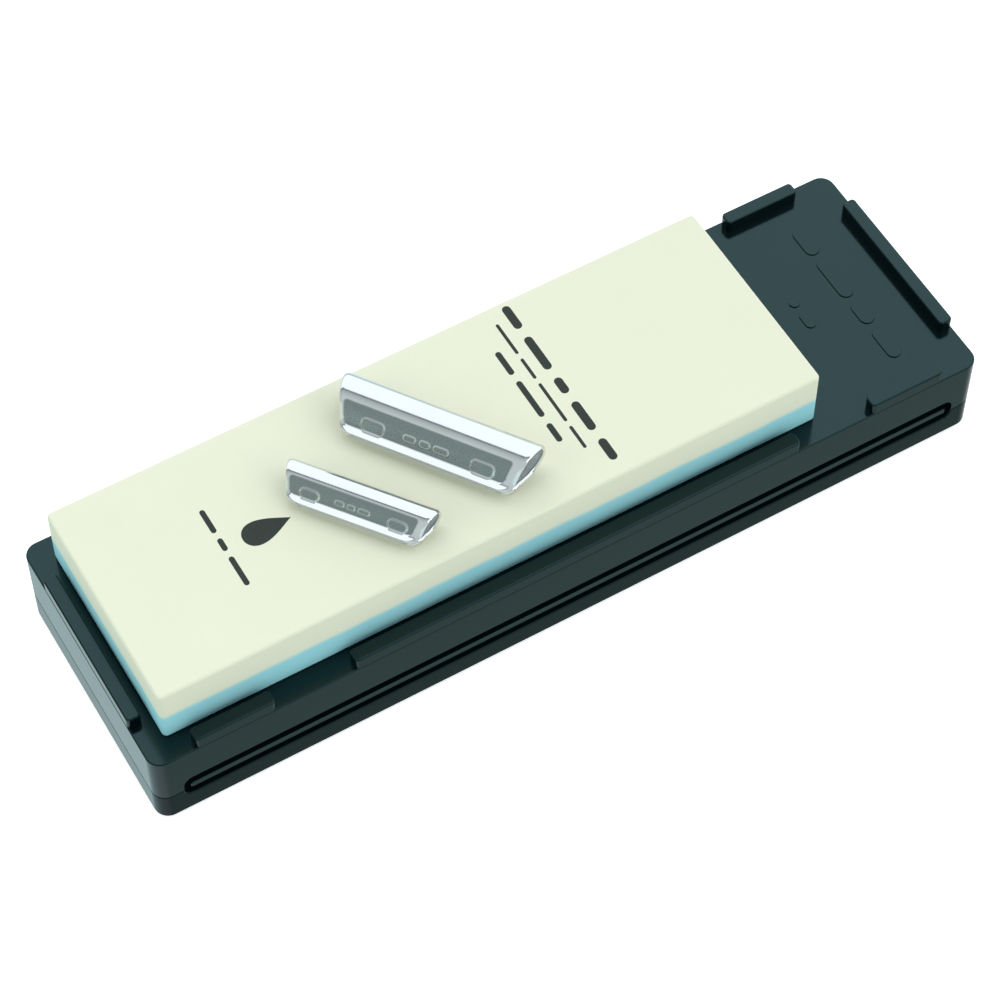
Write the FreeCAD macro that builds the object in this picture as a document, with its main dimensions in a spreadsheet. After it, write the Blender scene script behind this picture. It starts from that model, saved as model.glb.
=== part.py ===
"""Two-layer water whetstone on its two-shell storage case, with two clip-on sharpening guides.

Frame: origin on the floor under the middle of the case, +X along the case, +Y to its back, +Z up.
All sizes are millimetres and degrees.
"""
import FreeCAD, Part
import math
import os
import Sketcher
from FreeCAD import Placement, Rotation, Vector

DRIVING_SIZES = {
    # storage case, outside
    "case_corner_radius": 4.4,
    "base_height": 10.6,
    "lid_height": 18.4,
    "bottom_edge_radius": 0.8,
    "plate_edge_radius": 0.4,
    "seam_chamfer": 0.3,
    # storage case, inside
    "base_floor": 2.4,
    "lid_plate": 2.4,
    "lid_side_wall": 3.4,
    "lid_end_wall": 2.6,
    "tongue_thickness": 1.2,
    "tongue_height": 4.0,
    "tongue_clearance": 0.3,
    "tongue_lead_in": 0.4,
    "divider_thickness": 2.0,
    "divider_height": 6.0,
    "stone_bay_clearance": 0.8,
    "guide_bay_length": 48.2,
    # finger grooves along both long sides
    "groove_end_margin": 8.0,
    "groove_depth": 2.2,
    "groove_below_rim": 3.2,
    "groove_above_flange": 3.4,
    "lid_flange_height": 1.9,
    "flange_end_radius": 0.5,
    "flange_edge_chamfer": 0.25,
    "groove_corner_radius": 3.2,
    "groove_lip_chamfer": 0.35,
    "flange_end_gap": 2.2,
    # locating lugs on the lid
    "lug_height": 4.1,
    "lug_thickness": 4.3,
    "lug_setback": 0.1,
    "lug_end_radius": 1.2,
    "lug_edge_radius": 0.5,
    "short_lug_length": 24.5,
    "lug_gap": 24.6,
    "lug_corner_gap": 13.4,
    "end_lug_corner_gap": 14.75,
    # rubber feet
    "foot_radius": 6.5,
    "foot_thickness": 1.8,
    "foot_drop": 0.8,
    "foot_end_inset": 17.0,
    "foot_side_inset": 13.0,
    "foot_pocket_clearance": 0.15,
    "foot_edge_radius": 0.4,
    # whetstone
    "stone_length": 210.0,
    "stone_width": 68.5,
    "coarse_thickness": 9.4,
    "fine_thickness": 9.8,
    "bond_thickness": 1.2,
    "stone_corner_radius": 1.5,
    "stone_edge_radius": 0.8,
    "stone_gap_left": 2.9,
    "stone_side_gap": 2.35,
    "stone_offset_back": 0.6,
    # clip-on guides, shared
    "guide_seat_gap": 0.1,
    "guide_corner_radius": 4.0,
    "panel_relief": 0.25,
    "panel_end_margin": 4.0,
    "panel_corner_radius": 1.2,
    "dimple_rise": 0.3,
    # large guide
    "large_mouth_length": 52.5,
    "large_end_slope": 14.2,
    "large_spine_radius": 6.2,
    "large_spine_centre": 10.2,
    "large_waist_half_gap": 1.8,
    "large_lip_depth": 2.4,
    "large_lip_half_gap": 2.3,
    "large_sheet": 0.8,
    "large_dimple_spacing": 33.5,
    "large_dimple_length": 7.4,
    "large_dimple_top_gap": 0.97,
    "large_place_x": -7.6,
    "large_place_y": -4.8,
    "large_yaw": -54.9,
    # small guide
    "small_mouth_length": 39.8,
    "small_end_slope": 13.4,
    "small_spine_radius": 4.4,
    "small_spine_centre": 7.3,
    "small_waist_half_gap": 1.5,
    "small_lip_depth": 2.1,
    "small_lip_half_gap": 2.0,
    "small_sheet": 0.7,
    "small_dimple_spacing": 26.4,
    "small_dimple_length": 6.2,
    "small_dimple_top_gap": 0.35,
    "small_place_x": -34.7,
    "small_place_y": -11.9,
    "small_yaw": -53.2,
}

# Sizes that follow from others. Each angle is the slope of a flank from its waist to its spine, in degrees.
FOLLOWING_SIZES = {
    "case_length": "(stone_length + 2 * stone_bay_clearance + divider_thickness + guide_bay_length"
                   " + 2 * (tongue_thickness + tongue_clearance + lid_end_wall))",
    "case_width": "(stone_width + 2 * (stone_side_gap + lug_thickness + lug_setback))",
    "long_lug_length": "(case_length - 2 * (lug_corner_gap + short_lug_length + lug_gap))",
    "end_lug_length": "(case_width - 2 * end_lug_corner_gap)",
}
for family in ("large", "small"):
    reach = f"({family}_spine_centre - {family}_lip_depth)"
    waist = f"{family}_waist_half_gap"
    FOLLOWING_SIZES[f"{family}_flank_angle"] = (
        f"((asin({family}_spine_radius / sqrt({reach}^2 + {waist}^2)) - atan({waist} / {reach})) / 1deg)")

doc = FreeCAD.newDocument("whetstone_set")
sizes = doc.addObject("Spreadsheet::Sheet", "sizes")
for row, (alias, value) in enumerate(DRIVING_SIZES.items(), start=1):
    sizes.set(f"A{row}", alias.replace("_", " "))
    sizes.set(f"B{row}", str(value))
    sizes.setAlias(f"B{row}", alias)
doc.recompute()


def sheet_terms(text):
    """Write out each size that follows from others, and put the sheet's name before every other size."""
    for name, meaning in reversed(FOLLOWING_SIZES.items()):
        text = text.replace(name, meaning)
    for alias in sorted(DRIVING_SIZES, key=len, reverse=True):
        text = text.replace(alias, f"\0{list(DRIVING_SIZES).index(alias)}\0")
    for index, alias in enumerate(DRIVING_SIZES):
        text = text.replace(f"\0{index}\0", f"sizes.{alias}")
    return text


def bind(item, name, expression):
    item.setExpression(name, sheet_terms(expression))


def value_of(expression):
    """Work an expression out as a number, to start a sketch near its solved shape."""
    return float(sizes.evalExpression(sheet_terms(expression)))


def new_body(label):
    body = doc.addObject("PartDesign::Body", label)
    body.Label = label
    return body


def new_sketch(body, name, plane="XY_Plane", offset="0"):
    """A sketch on one of the body's own origin planes, moved along that plane's normal."""
    sketch = body.newObject("Sketcher::SketchObject", name)
    origin_plane = next(item for item in body.Origin.OriginFeatures if item.Role == plane)
    sketch.AttachmentSupport = [(origin_plane, "")]
    sketch.MapMode = "FlatFace"
    bind(sketch, "AttachmentOffset.Base.z", offset)
    return sketch


def dimension(sketch, kind, *references, size):
    """A named driving constraint that follows an expression."""
    index = sketch.addConstraint(Sketcher.Constraint(kind, *references, value_of(size)))
    bind(sketch, f"Constraints[{index}]", size)


def add_rectangle(sketch, centre_x, centre_y, length_x, length_y, radius):
    """A rectangle with rounded corners, placed by its centre; every size is an expression."""
    middle_x = value_of(centre_x)
    middle_y = value_of(centre_y)
    half_x = value_of(length_x) / 2
    half_y = value_of(length_y) / 2
    round_off = value_of(radius)
    arcs = []
    for quarter, (side_x, side_y) in enumerate(((1, 1), (-1, 1), (-1, -1), (1, -1))):
        centre = Vector(middle_x + side_x * (half_x - round_off), middle_y + side_y * (half_y - round_off), 0)
        circle = Part.Circle(centre, Vector(0, 0, 1), round_off)
        start = quarter * math.pi / 2
        arcs.append(sketch.addGeometry(Part.ArcOfCircle(circle, start, start + math.pi / 2)))
    for quarter, arc in enumerate(arcs):
        following = arcs[(quarter + 1) % 4]
        line = Part.LineSegment(sketch.getPoint(arc, 2), sketch.getPoint(following, 1))
        side = sketch.addGeometry(line)
        sketch.addConstraint(Sketcher.Constraint("Tangent", arc, 2, side, 1))
        sketch.addConstraint(Sketcher.Constraint("Tangent", side, 2, following, 1))
        sketch.addConstraint(Sketcher.Constraint("Horizontal" if quarter % 2 == 0 else "Vertical", side))
        if quarter:
            sketch.addConstraint(Sketcher.Constraint("Equal", arcs[0], arc))
    dimension(sketch, "Radius", arcs[0], size=radius)
    dimension(sketch, "DistanceX", arcs[1], 3, arcs[0], 3, size=f"{length_x} - 2 * ({radius})")
    dimension(sketch, "DistanceY", arcs[3], 3, arcs[0], 3, size=f"{length_y} - 2 * ({radius})")
    dimension(sketch, "DistanceX", -1, 1, arcs[0], 3, size=f"{centre_x} + ({length_x}) / 2 - ({radius})")
    dimension(sketch, "DistanceY", -1, 1, arcs[0], 3, size=f"{centre_y} + ({length_y}) / 2 - ({radius})")


def pad(body, sketch, length, midplane=False, reverse=False):
    feature = body.newObject("PartDesign::Pad", sketch.Name + "_pad")
    feature.Profile = sketch
    feature.Midplane = midplane
    feature.Reversed = reverse
    bind(feature, "Length", length)
    doc.recompute()
    return feature


def pocket(body, sketch, depth, upward=False, midplane=False):
    """Cut away from the sketch, against its normal, or along it when upward is set."""
    before = body.Tip.Shape.Volume
    feature = body.newObject("PartDesign::Pocket", sketch.Name + "_cut")
    feature.Profile = sketch
    feature.Reversed = upward
    feature.Midplane = midplane
    bind(feature, "Length", depth)
    doc.recompute()
    if feature.Shape.Volume > before - 1e-3:
        raise RuntimeError(f"{feature.Name} cuts nothing")
    return feature


def dress(body, kind, name, choose, size):
    """Fillet or chamfer every edge of the body that the choose function accepts."""
    base = body.Tip
    edges = [f"Edge{number}" for number, edge in enumerate(base.Shape.Edges, start=1) if choose(edge)]
    feature = body.newObject(f"PartDesign::{kind}", name)
    feature.Base = (base, edges)
    bind(feature, "Radius" if kind == "Fillet" else "Size", size)
    doc.recompute()
    return feature


def edge_at_height(height):
    level = value_of(height)
    return lambda edge: max(abs(vertex.Z - level) for vertex in edge.Vertexes) < 1e-4


def cut_plain_box(body, name, centre_x, centre_y, length_x, length_y, radius, height, depth):
    """A rounded rectangular hollow that opens upward at the given height."""
    sketch = new_sketch(body, name, offset=height)
    add_rectangle(sketch, centre_x, centre_y, length_x, length_y, radius)
    return pocket(body, sketch, depth)


# Places that more than one piece needs, each an expression of the driving sizes.
LID_INNER_LENGTH = "(case_length - 2 * lid_end_wall)"
LID_INNER_WIDTH = "(case_width - 2 * lid_side_wall)"
LID_INNER_RADIUS = "max(case_corner_radius - lid_end_wall; 1)"
TONGUE_LENGTH = f"({LID_INNER_LENGTH} - 2 * tongue_clearance)"
TONGUE_WIDTH = f"({LID_INNER_WIDTH} - 2 * tongue_clearance)"
TONGUE_RADIUS = f"max({LID_INNER_RADIUS} - tongue_clearance; 0.6)"
BAY_LENGTH = f"({TONGUE_LENGTH} - 2 * tongue_thickness)"
BAY_WIDTH = f"({TONGUE_WIDTH} - 2 * tongue_thickness)"
BAY_RADIUS = f"max({TONGUE_RADIUS} - tongue_thickness; 0.5)"
STONE_BAY = "(stone_length + 2 * stone_bay_clearance)"
GROOVE_LENGTH = "(case_length - 2 * groove_end_margin)"
SEAM_HEIGHT = "(foot_drop + base_height)"
PLATE_HEIGHT = f"({SEAM_HEIGHT} + lid_height)"
STONE_CENTRE = "(-case_length / 2 + lug_setback + lug_thickness + stone_gap_left + stone_length / 2)"
STONE_TOP = f"({PLATE_HEIGHT} + coarse_thickness + bond_thickness + fine_thickness)"
FOOT_X = "(case_length / 2 - foot_end_inset)"
FOOT_Y = "(case_width / 2 - foot_side_inset)"
SIDES = {"front": -1, "back": 1}


def cut_finger_groove(body, side, seam):
    """Cut one shell's share of the long groove that runs past the seam in one long wall."""
    direction = SIDES[side]
    sketch = new_sketch(body, f"{side}_groove", "XZ_Plane", f"{-direction} * case_width / 2")
    height = "(groove_below_rim + lid_flange_height + groove_above_flange)"
    centre = f"{seam} - groove_below_rim + {height} / 2"
    radius = f"min(groove_corner_radius; {height} / 2 - 0.2)"
    add_rectangle(sketch, "0", centre, GROOVE_LENGTH, height, radius)
    pocket(body, sketch, "groove_depth", upward=direction > 0)


def groove_lip_edge(edge):
    """True for the straight bottom edge of a finger groove, on the outside of the wall."""
    level = value_of("base_height - groove_below_rim")
    outside = value_of("case_width / 2")
    ends = edge.Vertexes
    return all(abs(end.Z - level) < 1e-4 and abs(abs(end.Y) - outside) < 1e-4 for end in ends)


def add_rim_flange(body, side):
    """The lid's bottom rim crosses the groove as a narrow rib, flush with the wall outside."""
    direction = SIDES[side]
    sketch = new_sketch(body, f"{side}_flange", "XZ_Plane", f"{-direction} * case_width / 2")
    length = f"{GROOVE_LENGTH} - 2 * flange_end_gap"
    rounding = "min(flange_end_radius; lid_flange_height / 2 - 0.1)"
    add_rectangle(sketch, "0", "lid_flange_height / 2", length, "lid_flange_height", rounding)
    pad(body, sketch, "groove_depth + 0.2", reverse=direction < 0)


def flange_top_edge(edge):
    """True for the straight top edge of the lid's rib, on the outside of the wall."""
    level = value_of("lid_flange_height")
    outside = value_of("case_width / 2")
    ends = edge.Vertexes
    return all(abs(end.Z - level) < 1e-4 and abs(abs(end.Y) - outside) < 1e-4 for end in ends)


def lower_case_shell():
    """Open tray: floor, thick side walls, an upstanding tongue and a divider across the bay."""
    body = new_body("lower_case_shell")
    outline = new_sketch(body, "base_outline")
    add_rectangle(outline, "0", "0", "case_length", "case_width", "case_corner_radius")
    pad(body, outline, "base_height")
    dress(body, "Fillet", "bottom_rounding", edge_at_height("0"), "bottom_edge_radius")
    dress(body, "Chamfer", "seam_edge", edge_at_height("base_height"), "seam_chamfer")
    tongue = new_sketch(body, "tongue_outline", offset="base_height")
    add_rectangle(tongue, "0", "0", TONGUE_LENGTH, TONGUE_WIDTH, TONGUE_RADIUS)
    pad(body, tongue, "tongue_height")
    dress(body, "Chamfer", "tongue_lead", edge_at_height("base_height + tongue_height"), "tongue_lead_in")
    rim = "(base_height + tongue_height)"
    cut_plain_box(body, "bay", "0", "0", BAY_LENGTH, BAY_WIDTH, BAY_RADIUS, rim, f"{rim} - base_floor")
    divider = new_sketch(body, "divider", offset="base_floor")
    left = f"(-{BAY_LENGTH} / 2 + {STONE_BAY})"
    centre = f"{left} + divider_thickness / 2"
    add_rectangle(divider, centre, "0", "divider_thickness", f"{BAY_WIDTH} + tongue_thickness", "0.3")
    pad(body, divider, "divider_height")
    for side in SIDES:
        cut_finger_groove(body, side, "base_height")
    dress(body, "Chamfer", "groove_lip", groove_lip_edge, "groove_lip_chamfer")
    for name, sign_x, sign_y in foot_places():
        hole = new_sketch(body, f"{name}_pocket")
        middle = Vector(sign_x * value_of(FOOT_X), sign_y * value_of(FOOT_Y), 0)
        circle = Part.Circle(middle, Vector(0, 0, 1), value_of("foot_radius"))
        ring = hole.addGeometry(circle)
        dimension(hole, "Radius", ring, size="foot_radius + foot_pocket_clearance")
        dimension(hole, "DistanceX", -1, 1, ring, 3, size=f"{sign_x} * {FOOT_X}")
        dimension(hole, "DistanceY", -1, 1, ring, 3, size=f"{sign_y} * {FOOT_Y}")
        pocket(body, hole, "foot_thickness - foot_drop", upward=True)
    bind(body, "Placement.Base.z", "foot_drop")
    return body


def foot_places():
    for side, sign_y in SIDES.items():
        for end, sign_x in (("left", -1), ("right", 1)):
            yield f"foot_{side}_{end}", sign_x, sign_y


def rubber_foot(name, sign_x, sign_y):
    """A round rubber pad that stands out of its pocket in the tray's underside."""
    disc = doc.addObject("Part::Cylinder", name + "_disc")
    bind(disc, "Radius", "foot_radius")
    bind(disc, "Height", "foot_thickness")
    doc.recompute()
    foot = doc.addObject("Part::Fillet", name)
    foot.Base = disc
    rim = next(n for n, edge in enumerate(disc.Shape.Edges, start=1) if edge_at_height("0")(edge))
    rounding = value_of("foot_edge_radius")
    foot.Edges = [(rim, rounding, rounding)]
    foot.Label = name
    bind(foot, "Placement.Base.x", f"{sign_x} * {FOOT_X}")
    bind(foot, "Placement.Base.y", f"{sign_y} * {FOOT_Y}")
    return foot


def lug_places():
    """Name, centre and size of each locating lug, as expressions."""
    side_y = "(case_width / 2 - lug_setback - lug_thickness / 2)"
    end_x = "(case_length / 2 - lug_setback - lug_thickness / 2)"
    short_x = "(long_lug_length / 2 + lug_gap + short_lug_length / 2)"
    for side, sign_y in SIDES.items():
        yield f"{side}_long_lug", "0", f"{sign_y} * {side_y}", "long_lug_length", "lug_thickness"
        for end, sign_x in (("left", -1), ("right", 1)):
            name = f"{side}_{end}_lug"
            yield name, f"{sign_x} * {short_x}", f"{sign_y} * {side_y}", "short_lug_length", "lug_thickness"
    for end, sign_x in (("left", -1), ("right", 1)):
        yield f"{end}_end_lug", f"{sign_x} * {end_x}", "0", "lug_thickness", "end_lug_length"


def upper_case_shell():
    """Lid that is also the sharpening stand: a flat plate ringed by eight locating lugs."""
    body = new_body("upper_case_shell")
    outline = new_sketch(body, "lid_outline")
    add_rectangle(outline, "0", "0", "case_length", "case_width", "case_corner_radius")
    pad(body, outline, "lid_height")
    dress(body, "Fillet", "plate_rounding", edge_at_height("lid_height"), "plate_edge_radius")
    dress(body, "Chamfer", "seam_edge", edge_at_height("0"), "seam_chamfer")
    hollow = new_sketch(body, "lid_hollow")
    add_rectangle(hollow, "0", "0", LID_INNER_LENGTH, LID_INNER_WIDTH, LID_INNER_RADIUS)
    pocket(body, hollow, "lid_height - lid_plate", upward=True)
    for side in SIDES:
        cut_finger_groove(body, side, "0")
        add_rim_flange(body, side)
    dress(body, "Chamfer", "flange_edge", flange_top_edge, "flange_edge_chamfer")
    for name, centre_x, centre_y, length_x, length_y in lug_places():
        lug = new_sketch(body, name, offset="lid_height - plate_edge_radius")
        add_rectangle(lug, centre_x, centre_y, length_x, length_y, "lug_end_radius")
        pad(body, lug, "lug_height + plate_edge_radius")
    lug_top = edge_at_height("lid_height + lug_height")
    dress(body, "Fillet", "lug_rounding", lug_top, "min(lug_edge_radius; lug_thickness / 2 - 0.2)")
    bind(body, "Placement.Base.z", SEAM_HEIGHT)
    return body


def stone_slab(label, thickness, height):
    """One layer of the whetstone, lying at the given height above the floor."""
    body = new_body(label)
    outline = new_sketch(body, label + "_outline")
    add_rectangle(outline, "0", "0", "stone_length", "stone_width", "stone_corner_radius")
    pad(body, outline, thickness)
    bind(body, "Placement.Base.x", STONE_CENTRE)
    bind(body, "Placement.Base.y", "stone_offset_back")
    bind(body, "Placement.Base.z", height)
    return body


def whetstone():
    coarse = stone_slab("coarse_stone_layer", "coarse_thickness", PLATE_HEIGHT)
    dress(coarse, "Fillet", "coarse_rounding", edge_at_height("0"), "stone_edge_radius")
    bond_height = f"{PLATE_HEIGHT} + coarse_thickness"
    bond = stone_slab("stone_bond_line", "bond_thickness", bond_height)
    fine = stone_slab("fine_stone_layer", "fine_thickness", f"{bond_height} + bond_thickness")
    dress(fine, "Fillet", "fine_rounding", edge_at_height("fine_thickness"), "stone_edge_radius")
    return [coarse, bond, fine]


def guide_profile(body, label, part):
    """Section of the folded sheet: a round spine, two flanks drawn together and flared lips.

    Sketch x runs from the mouth to the spine and sketch y is square to the blade's plane.
    """
    sketch = new_sketch(body, f"{label}_profile", "YZ_Plane")
    sheet = value_of(part("sheet"))
    radius = value_of(part("spine_radius"))
    centre = value_of(part("spine_centre"))
    slope = math.radians(value_of(part("flank_angle")))
    lip_depth = value_of(part("lip_depth"))
    lip_gap = value_of(part("lip_half_gap"))

    def flank_point(offset, along):
        """Point at a distance along one flank line, which lies offset inside the outer face."""
        apex = centre - radius / math.sin(slope)
        return Vector(along, (along - apex) * math.tan(slope) - offset / math.cos(slope), 0)

    def tangent_point(bend):
        return Vector(centre - bend * math.sin(slope), bend * math.cos(slope), 0)

    waist = flank_point(0, lip_depth)
    lip_tip = Vector(0, lip_gap, 0)
    lip_normal = Vector(waist.y - lip_tip.y, lip_tip.x - waist.x, 0).normalize() * sheet
    inner_tip = lip_tip + lip_normal
    inner_waist = Vector(waist.x + lip_normal.x, waist.y - 1.1 * sheet, 0)
    upper = [inner_tip, lip_tip, waist, tangent_point(radius)]
    inner = [tangent_point(radius - sheet), inner_waist, inner_tip]
    mirrored = {}
    for side in (1, -1):
        flip = lambda point: Vector(point.x, side * point.y, 0)
        names = ("tip", "lip", "flank")
        for name, start, end in zip(names, upper[:-1], upper[1:]):
            mirrored[name, side] = sketch.addGeometry(Part.LineSegment(flip(start), flip(end)))
        for name, start, end in zip(("inner_flank", "inner_lip"), inner[:-1], inner[1:]):
            mirrored[name, side] = sketch.addGeometry(Part.LineSegment(flip(start), flip(end)))
    sweep = math.pi / 2 + slope
    bends = []
    for bend in (radius, radius - sheet):
        circle = Part.Circle(Vector(centre, 0, 0), Vector(0, 0, 1), bend)
        bends.append(sketch.addGeometry(Part.ArcOfCircle(circle, -sweep, sweep)))

    def join(kind, *references):
        sketch.addConstraint(Sketcher.Constraint(kind, *references))

    for side, outer_end in ((1, 2), (-1, 1)):
        join("Coincident", mirrored["tip", side], 2, mirrored["lip", side], 1)
        join("Coincident", mirrored["lip", side], 2, mirrored["flank", side], 1)
        join("Tangent", mirrored["flank", side], 2, bends[0], outer_end)
        join("Tangent", mirrored["inner_flank", side], 1, bends[1], outer_end)
        join("Coincident", mirrored["inner_flank", side], 2, mirrored["inner_lip", side], 1)
        join("Coincident", mirrored["inner_lip", side], 2, mirrored["tip", side], 1)
        join("Parallel", mirrored["flank", side], mirrored["inner_flank", side])
        join("Parallel", mirrored["lip", side], mirrored["inner_lip", side])
        join("Perpendicular", mirrored["tip", side], mirrored["lip", side])
    join("PointOnObject", mirrored["lip", 1], 1, -2)
    join("Symmetric", mirrored["lip", 1], 1, mirrored["lip", -1], 1, -1)
    join("Symmetric", mirrored["lip", 1], 2, mirrored["lip", -1], 2, -1)
    join("Coincident", bends[0], 3, bends[1], 3)
    join("PointOnObject", bends[0], 3, -1)
    dimension(sketch, "DistanceX", -1, 1, bends[0], 3, size=part("spine_centre"))
    dimension(sketch, "Radius", bends[0], size=part("spine_radius"))
    dimension(sketch, "Radius", bends[1], size=f"{part('spine_radius')} - {part('sheet')}")
    dimension(sketch, "DistanceX", -1, 1, mirrored["lip", 1], 2, size=part("lip_depth"))
    dimension(sketch, "DistanceY", -1, 1, mirrored["lip", 1], 1, size=part("lip_half_gap"))
    waist_gap = f"({part('lip_depth')} - {guide_apex(part)}) * tan({part('flank_angle')} * 1deg)"
    dimension(sketch, "DistanceY", -1, 1, mirrored["lip", 1], 2, size=waist_gap)
    for side in (1, -1):
        dimension(sketch, "Distance", mirrored["tip", side], size=part("sheet"))
    return sketch


def guide_apex(part):
    """Where the two outer flank faces would meet, measured from the mouth."""
    return f"({part('spine_centre')} - {part('spine_radius')} / sin({part('flank_angle')} * 1deg))"


def trim_guide_end(body, label, part, side):
    """Slope one end of the guide, so that the spine is longer than the mouth, and round its lip corner."""
    sketch = new_sketch(body, f"{label}_{'right' if side > 0 else 'left'}_end")
    half_mouth = value_of(part("mouth_length")) / 2
    slope = math.radians(value_of(part("end_slope")))
    margin = 3.0
    reach = value_of(part("spine_centre")) + value_of(part("spine_radius")) + margin
    round_off = value_of("guide_corner_radius")
    turn = math.pi / 2 + slope
    flat = round_off / math.tan(turn / 2)
    lip_end = Vector(side * (half_mouth - flat), 0, 0)
    centre = Vector(lip_end.x, round_off, 0)
    slope_start = centre + Vector(side * math.cos(slope), -math.sin(slope), 0) * round_off
    slope_end = Vector(side * (half_mouth + reach * math.tan(slope)), reach, 0)
    outside = side * (half_mouth + reach * math.tan(slope) + margin)
    corners = [slope_end, Vector(outside, reach, 0), Vector(outside, -margin, 0)]
    corners += [Vector(lip_end.x, -margin, 0), lip_end]
    lines = [sketch.addGeometry(Part.LineSegment(slope_start, slope_end))]
    for start, end in zip(corners[:-1], corners[1:]):
        lines.append(sketch.addGeometry(Part.LineSegment(start, end)))
    circle = Part.Circle(centre, Vector(0, 0, 1), round_off)
    angles = [-math.pi / 2, -slope] if side > 0 else [math.pi + slope, 3 * math.pi / 2]
    arc = sketch.addGeometry(Part.ArcOfCircle(circle, *angles))
    at_lip, at_slope = (1, 2) if side > 0 else (2, 1)
    for first, second in zip(lines[:-1], lines[1:]):
        sketch.addConstraint(Sketcher.Constraint("Coincident", first, 2, second, 1))
    for line in (lines[1], lines[3]):
        sketch.addConstraint(Sketcher.Constraint("Horizontal", line))
    for line in (lines[2], lines[4]):
        sketch.addConstraint(Sketcher.Constraint("Vertical", line))
    sketch.addConstraint(Sketcher.Constraint("Coincident", lines[4], 2, arc, at_lip))
    sketch.addConstraint(Sketcher.Constraint("Tangent", lines[0], 1, arc, at_slope))
    sketch.addConstraint(Sketcher.Constraint("Vertical", arc, 3, arc, at_lip))
    sketch.addConstraint(Sketcher.Constraint("PointOnObject", arc, at_lip, -1))
    dimension(sketch, "Radius", arc, size="guide_corner_radius")
    depth = f"{part('spine_centre')} + {part('spine_radius')} + {margin}"
    dimension(sketch, "DistanceY", -1, 1, lines[0], 2, size=depth)
    slope_tangent = f"tan({part('end_slope')} * 1deg)"
    half_spine = f"({part('mouth_length')} / 2 + ({depth}) * {slope_tangent})"
    corner_flat = f"guide_corner_radius / tan(45deg + {part('end_slope')} * 0.5deg)"
    dimension(sketch, "DistanceX", -1, 1, lines[0], 2, size=f"{side} * {half_spine}")
    half_straight = f"({part('mouth_length')} / 2 - {corner_flat})"
    dimension(sketch, "DistanceX", -1, 1, arc, 3, size=f"{side} * {half_straight}")
    dimension(sketch, "DistanceX", -1, 1, lines[2], 1, size=f"{side} * ({half_spine} + {margin})")
    dimension(sketch, "DistanceY", lines[3], 1, -1, 1, size=f"{margin}")
    pocket(body, sketch, f"4 * {part('spine_radius')}", midplane=True)


def flank_sketch(body, name, part, face):
    """A sketch on the outer face of one flank; its origin is where the two flank faces would meet."""
    sketch = new_sketch(body, name)
    bind(sketch, "AttachmentOffset.Base.y", guide_apex(part))
    sketch.AttachmentOffset = Placement(sketch.AttachmentOffset.Base, Rotation(Vector(1, 0, 0), 1))
    bind(sketch, "AttachmentOffset.Rotation.Angle", f"{face} * {part('flank_angle')}")
    return sketch


def press_flank(body, label, part, face):
    """Press one flank: a sunk panel with rounded corners, and two dimples that stand up from it."""
    side = "upper" if face > 0 else "lower"
    low = f"(({part('lip_depth')} - {guide_apex(part)}) / cos({part('flank_angle')} * 1deg) + 0.3)"
    high = f"({part('spine_radius')} / tan({part('flank_angle')} * 1deg))"
    panel = flank_sketch(body, f"{label}_{side}_panel", part, face)
    length = f"{part('mouth_length')} - 2 * panel_end_margin"
    height = f"({high} - {low})"
    panel_rounding = f"min(panel_corner_radius; {height} / 2 - 0.1)"
    add_rectangle(panel, "0", f"({low} + {high}) / 2", length, height, panel_rounding)
    pocket(body, panel, "panel_relief", upward=face < 0)
    for number, end in enumerate((-1, 1), start=1):
        dimple = flank_sketch(body, f"{label}_{side}_dimple_{number}", part, face)
        centre = f"{end} * {part('dimple_spacing')} / 2"
        size = f"({height} - {part('dimple_top_gap')})"
        dimple_rounding = f"min(panel_corner_radius; {size} / 2 - 0.1)"
        add_rectangle(dimple, centre, f"{low} + {size} / 2", part("dimple_length"), size, dimple_rounding)
        pad(body, dimple, "2 * max(dimple_rise; panel_relief + 0.05)", midplane=True)


def sharpening_guide(label):
    """A folded steel clip that grips the back of a blade and raises it off the stone."""
    family = label.split("_")[0]

    def part(name):
        return f"{family}_{name}"

    body = new_body(label)
    profile = guide_profile(body, label, part)
    widening = f"2 * ({part('spine_centre')} + {part('spine_radius')}) * tan({part('end_slope')} * 1deg)"
    pad(body, profile, f"{part('mouth_length')} + {widening}", midplane=True)
    for side in (1, -1):
        trim_guide_end(body, label, part, side)
    for face in (1, -1):
        press_flank(body, label, part, face)
    mouth_gap = part("lip_half_gap")
    centre = part("spine_centre")
    lean = f"asin({part('spine_radius')} / sqrt({centre}^2 + {mouth_gap}^2)) - atan({mouth_gap} / {centre})"
    height = f"{STONE_TOP} + guide_seat_gap + {mouth_gap} * cos({lean})"
    across = f"{STONE_CENTRE} + {part('place_x')}; stone_offset_back + {part('place_y')}"
    place = f"create(<<vector>>; {across}; {height})"
    turn = f"create(<<rotation>>; {part('yaw')}; 0; ({lean}) / 1deg)"
    bind(body, "Placement", f"create(<<placement>>; {place}; {turn})")
    return body


pieces = [lower_case_shell(), upper_case_shell()]
pieces += [rubber_foot(*place) for place in foot_places()]
pieces += whetstone()
pieces += [sharpening_guide("large_guide"), sharpening_guide("small_guide")]
doc.recompute()

for item in doc.Objects:
    if "Invalid" in item.State or "Error" in item.State:
        raise RuntimeError(f"{item.Label} did not build: {item.State}")
os.makedirs("parts", exist_ok=True)
for piece in pieces:
    shape = piece.Shape
    if shape.isNull() or not shape.isValid() or not shape.Solids:
        raise RuntimeError(f"{piece.Label} has no valid solid")
for piece in pieces:
    piece.Shape.exportStep(f"parts/{piece.Label}.step")
    box = piece.Shape.BoundBox
    print(f"{piece.Label}: {box.XMin:.2f}..{box.XMax:.2f}, {box.YMin:.2f}..{box.YMax:.2f},"
          f" {box.ZMin:.2f}..{box.ZMax:.2f}, volume {piece.Shape.Volume:.0f}")
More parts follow.
